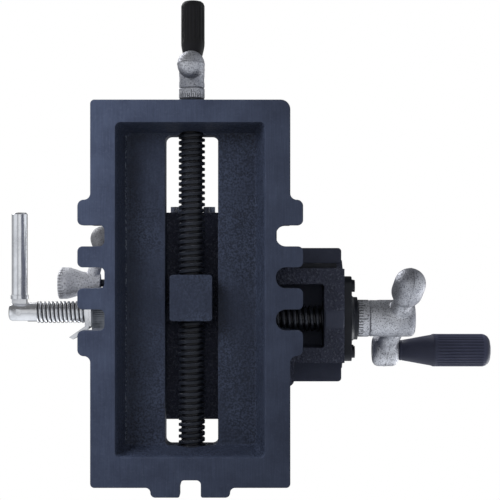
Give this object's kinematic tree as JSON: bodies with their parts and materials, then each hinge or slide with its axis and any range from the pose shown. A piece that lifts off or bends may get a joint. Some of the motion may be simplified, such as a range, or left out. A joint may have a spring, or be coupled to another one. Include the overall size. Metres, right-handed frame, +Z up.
{
  "type": "cross slide vise",
  "caption": "Compound cross slide vise: two crossed dovetail slides with crank leadscrews carry a machine vise with a folding-handle clamping screw.",
  "frame": {"origin": "middle of the base casting's underside, in the plane it stands on", "axes": "+Z up, X along the cross leadscrew with its crank at +X, Y along the base leadscrew with its crank at -Y"},
  "size_m": [0.3505, 0.3375, 0.132],
  "materials": {
    "painted_iron": "satin enamel",
    "rough_iron": "dark sand-cast skin",
    "black_steel": "black oxide",
    "bright_steel": "bright turned and plated",
    "cast_aluminium": "cast and tumbled",
    "dark_plastic": "moulded satin",
    "bronze": "turned bronze",
    "ground_steel": "ground and hardened"
  },
  "bodies": {
    "base": {"base_casting": "painted_iron", "base_front_bush": "black_steel", "base_rear_bush": "bronze"},
    "base_screw": {"base_leadscrew": "black_steel", "base_dial": "cast_aluminium", "base_crank": "cast_aluminium", "base_crank_pin": "bright_steel", "base_grip_spindle": "bright_steel"},
    "base_handle": {"base_grip": "dark_plastic"},
    "saddle": {"saddle_casting": "rough_iron", "base_nut": "painted_iron", "base_nut_screw": "bright_steel", "saddle_gib": "ground_steel", "saddle_gib_screws": "black_steel", "saddle_end_screws": "bright_steel", "cross_bearing_plate": "rough_iron", "cross_bearing_screws": "black_steel", "cross_front_bush": "black_steel", "cross_rear_bush": "bronze"},
    "cross_screw": {"cross_leadscrew": "black_steel", "cross_dial": "cast_aluminium", "cross_crank": "cast_aluminium", "cross_crank_pin": "bright_steel", "cross_grip_spindle": "bright_steel"},
    "cross_handle": {"cross_grip": "dark_plastic"},
    "vise": {"vise_body": "painted_iron", "cross_nut": "painted_iron", "cross_nut_bolts": "black_steel", "vise_gib": "ground_steel", "vise_gib_screws": "black_steel", "vise_gib_locknuts": "bright_steel", "fixed_jaw_plate": "ground_steel", "fixed_jaw_screws": "black_steel", "screw_bush": "black_steel", "tab_washer": "bright_steel", "tab_plate": "bright_steel", "lock_stud": "black_steel"},
    "clamp_lever": {"lock_lever": "cast_aluminium"},
    "jaw": {"movable_jaw": "painted_iron", "movable_jaw_plate": "ground_steel", "movable_jaw_screws": "black_steel", "jaw_keeper": "ground_steel", "jaw_keeper_bolts": "black_steel", "screw_retainer": "black_steel", "retainer_screws": "bright_steel"},
    "clamp_screw": {"vise_screw": "bright_steel", "screw_collar": "black_steel", "handle_pin": "bright_steel"},
    "folding_handle": {"handle_bar": "bright_steel"}
  },
  "joints": [
    {"name": "saddle_slide", "type": "slide", "parent": "base", "child": "saddle", "axis": [0, 1, 0], "range_m": [-0.072, 0.034]},
    {"name": "base_screw_turn", "type": "hinge", "parent": "base", "child": "base_screw", "pos_m": [0, 0, 0.028], "axis": [0, 1, 0], "range_deg": [-3062, 6482]},
    {"name": "base_grip_turn", "type": "hinge", "parent": "base_screw", "child": "base_handle", "pos_m": [0, -0.17, 0.047], "axis": [0, 1, 0], "continuous": true},
    {"name": "cross_slide", "type": "slide", "parent": "saddle", "child": "vise", "axis": [1, 0, 0], "range_m": [-0.072, 0.005]},
    {"name": "cross_screw_turn", "type": "hinge", "parent": "saddle", "child": "cross_screw", "pos_m": [0, 0.019, 0.061], "axis": [1, 0, 0], "range_deg": [-452, 6482]},
    {"name": "cross_grip_turn", "type": "hinge", "parent": "cross_screw", "child": "cross_handle", "pos_m": [0.17, 0.04363, 0.09252], "axis": [1, 0, 0], "continuous": true},
    {"name": "jaw_slide", "type": "slide", "parent": "vise", "child": "jaw", "axis": [1, 0, 0], "range_m": [-0.04, 0.0198]},
    {"name": "clamp_screw_turn", "type": "hinge", "parent": "jaw", "child": "clamp_screw", "pos_m": [0, 0.0165, 0.106], "axis": [1, 0, 0], "range_deg": [-4802, 2378]},
    {"name": "handle_fold", "type": "hinge", "parent": "clamp_screw", "child": "folding_handle", "pos_m": [-0.1295, 0.0165, 0.106], "axis": [0, 0, 1], "range_deg": [-180, 0]},
    {"name": "clamp_lever_turn", "type": "hinge", "parent": "vise", "child": "clamp_lever", "pos_m": [-0.09, -0.0045, 0.117], "axis": [1, 0, 0], "range_deg": [-90, 20]}
  ],
  "couplings": [
    {"joint": "base_screw_turn", "follows": "saddle_slide", "rad_per_m": -1570.8},
    {"joint": "cross_screw_turn", "follows": "cross_slide", "rad_per_m": -1570.8},
    {"joint": "clamp_screw_turn", "follows": "jaw_slide", "rad_per_m": 2094.4}
  ]
}
